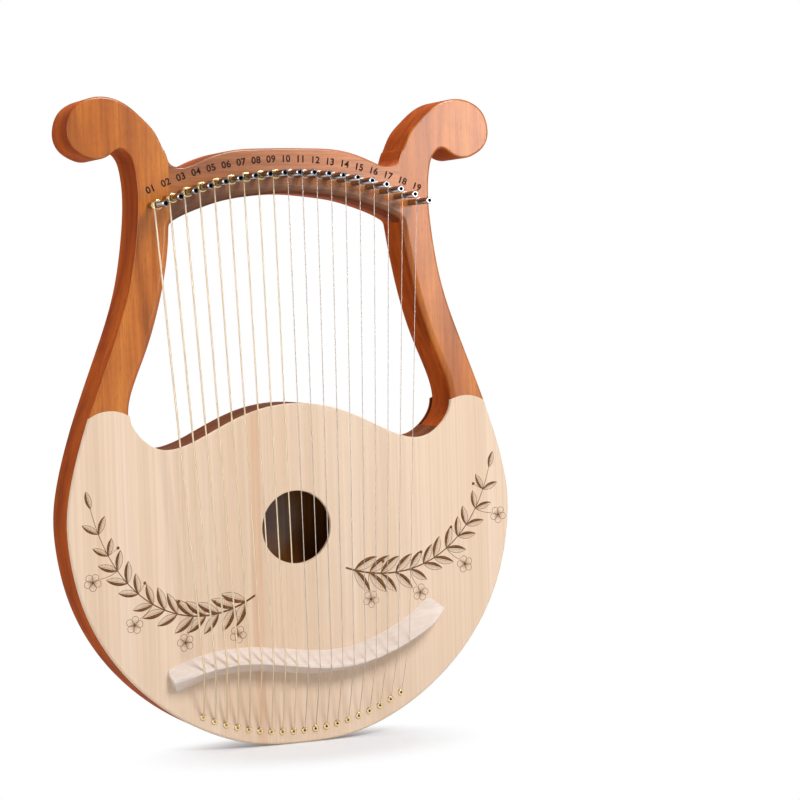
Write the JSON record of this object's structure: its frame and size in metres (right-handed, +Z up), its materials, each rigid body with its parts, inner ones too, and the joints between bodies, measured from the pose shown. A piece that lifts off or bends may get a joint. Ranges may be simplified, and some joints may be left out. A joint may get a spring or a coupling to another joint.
{
  "type": "lyre harp",
  "caption": "Small wooden lyre harp: a round hollow body with a pale soundboard and sound hole, two curled arms, an arched crossbar of tuning pins, wire strings and a curved bridge.",
  "frame": {"origin": "centre of the overall box in X and Y, at the height of the round body's lowest point", "axes": "+Z up along the strings to the horns, +X to the right as the player sees the soundboard, and the soundboard faces -Y, so +Y points out of the back"},
  "size_m": [0.3654, 0.079, 0.5002],
  "materials": {
    "mahogany": "satin lacquer, straight grain along the piece",
    "spruce": "satin, fine straight grain running up the board",
    "maple": "satin, pale and close grained",
    "beech": "bare",
    "chrome": "polished",
    "brass": "polished",
    "bronze_wire": "bright winding",
    "steel_wire": "bright drawn wire"
  },
  "bodies": {
    "lyre": {"left_arm": "mahogany", "right_arm": "mahogany", "crossbar": "mahogany", "crossbar_dowels": "beech", "shoulder_rail": "mahogany", "left_rim": "mahogany", "right_rim": "mahogany", "tail_block": "mahogany", "soundboard": "spruce", "back_plate": "mahogany", "bridge": "maple", "upper_brace": "spruce", "lower_brace": "spruce", "back_brace": "spruce", "eyelets": "brass", "ball_ends": "brass", "wound_strings": "bronze_wire", "plain_strings": "steel_wire"},
    "pin_01": {"tuning_pin_01": "chrome", "string_coil_01": "bronze_wire"},
    "pin_02": {"tuning_pin_02": "chrome", "string_coil_02": "bronze_wire"},
    "pin_03": {"tuning_pin_03": "chrome", "string_coil_03": "bronze_wire"},
    "pin_04": {"tuning_pin_04": "chrome", "string_coil_04": "bronze_wire"},
    "pin_05": {"tuning_pin_05": "chrome", "string_coil_05": "bronze_wire"},
    "pin_06": {"tuning_pin_06": "chrome", "string_coil_06": "bronze_wire"},
    "pin_07": {"tuning_pin_07": "chrome", "string_coil_07": "bronze_wire"},
    "pin_08": {"tuning_pin_08": "chrome", "string_coil_08": "bronze_wire"},
    "pin_09": {"tuning_pin_09": "chrome", "string_coil_09": "bronze_wire"},
    "pin_10": {"tuning_pin_10": "chrome", "string_coil_10": "steel_wire"},
    "pin_11": {"tuning_pin_11": "chrome", "string_coil_11": "steel_wire"},
    "pin_12": {"tuning_pin_12": "chrome", "string_coil_12": "steel_wire"},
    "pin_13": {"tuning_pin_13": "chrome", "string_coil_13": "steel_wire"},
    "pin_14": {"tuning_pin_14": "chrome", "string_coil_14": "steel_wire"},
    "pin_15": {"tuning_pin_15": "chrome", "string_coil_15": "steel_wire"},
    "pin_16": {"tuning_pin_16": "chrome", "string_coil_16": "steel_wire"},
    "pin_17": {"tuning_pin_17": "chrome", "string_coil_17": "steel_wire"},
    "pin_18": {"tuning_pin_18": "chrome", "string_coil_18": "steel_wire"},
    "pin_19": {"tuning_pin_19": "chrome", "string_coil_19": "steel_wire"}
  },
  "joints": [
    {"name": "pin_01_turn", "type": "hinge", "parent": "lyre", "child": "pin_01", "pos_m": [-0.1101, -0.0025, 0.41849], "axis": [0, -1, 0], "continuous": true},
    {"name": "pin_02_turn", "type": "hinge", "parent": "lyre", "child": "pin_02", "pos_m": [-0.09821, -0.0025, 0.42338], "axis": [0, -1, 0], "continuous": true},
    {"name": "pin_03_turn", "type": "hinge", "parent": "lyre", "child": "pin_03", "pos_m": [-0.08632, -0.0025, 0.42761], "axis": [0, -1, 0], "continuous": true},
    {"name": "pin_04_turn", "type": "hinge", "parent": "lyre", "child": "pin_04", "pos_m": [-0.07443, -0.0025, 0.43123], "axis": [0, -1, 0], "continuous": true},
    {"name": "pin_05_turn", "type": "hinge", "parent": "lyre", "child": "pin_05", "pos_m": [-0.06254, -0.0025, 0.43425], "axis": [0, -1, 0], "continuous": true},
    {"name": "pin_06_turn", "type": "hinge", "parent": "lyre", "child": "pin_06", "pos_m": [-0.05065, -0.0025, 0.4367], "axis": [0, -1, 0], "continuous": true},
    {"name": "pin_07_turn", "type": "hinge", "parent": "lyre", "child": "pin_07", "pos_m": [-0.03876, -0.0025, 0.43859], "axis": [0, -1, 0], "continuous": true},
    {"name": "pin_08_turn", "type": "hinge", "parent": "lyre", "child": "pin_08", "pos_m": [-0.02687, -0.0025, 0.43993], "axis": [0, -1, 0], "continuous": true},
    {"name": "pin_09_turn", "type": "hinge", "parent": "lyre", "child": "pin_09", "pos_m": [-0.01498, -0.0025, 0.44073], "axis": [0, -1, 0], "continuous": true},
    {"name": "pin_10_turn", "type": "hinge", "parent": "lyre", "child": "pin_10", "pos_m": [-0.00309, -0.0025, 0.441], "axis": [0, -1, 0], "continuous": true},
    {"name": "pin_11_turn", "type": "hinge", "parent": "lyre", "child": "pin_11", "pos_m": [0.0088, -0.0025, 0.44074], "axis": [0, -1, 0], "continuous": true},
    {"name": "pin_12_turn", "type": "hinge", "parent": "lyre", "child": "pin_12", "pos_m": [0.02069, -0.0025, 0.43994], "axis": [0, -1, 0], "continuous": true},
    {"name": "pin_13_turn", "type": "hinge", "parent": "lyre", "child": "pin_13", "pos_m": [0.03258, -0.0025, 0.43861], "axis": [0, -1, 0], "continuous": true},
    {"name": "pin_14_turn", "type": "hinge", "parent": "lyre", "child": "pin_14", "pos_m": [0.04447, -0.0025, 0.43673], "axis": [0, -1, 0], "continuous": true},
    {"name": "pin_15_turn", "type": "hinge", "parent": "lyre", "child": "pin_15", "pos_m": [0.05636, -0.0025, 0.43429], "axis": [0, -1, 0], "continuous": true},
    {"name": "pin_16_turn", "type": "hinge", "parent": "lyre", "child": "pin_16", "pos_m": [0.06825, -0.0025, 0.43128], "axis": [0, -1, 0], "continuous": true},
    {"name": "pin_17_turn", "type": "hinge", "parent": "lyre", "child": "pin_17", "pos_m": [0.08014, -0.0025, 0.42767], "axis": [0, -1, 0], "continuous": true},
    {"name": "pin_18_turn", "type": "hinge", "parent": "lyre", "child": "pin_18", "pos_m": [0.09203, -0.0025, 0.42345], "axis": [0, -1, 0], "continuous": true},
    {"name": "pin_19_turn", "type": "hinge", "parent": "lyre", "child": "pin_19", "pos_m": [0.10392, -0.0025, 0.41857], "axis": [0, -1, 0], "continuous": true}
  ]
}
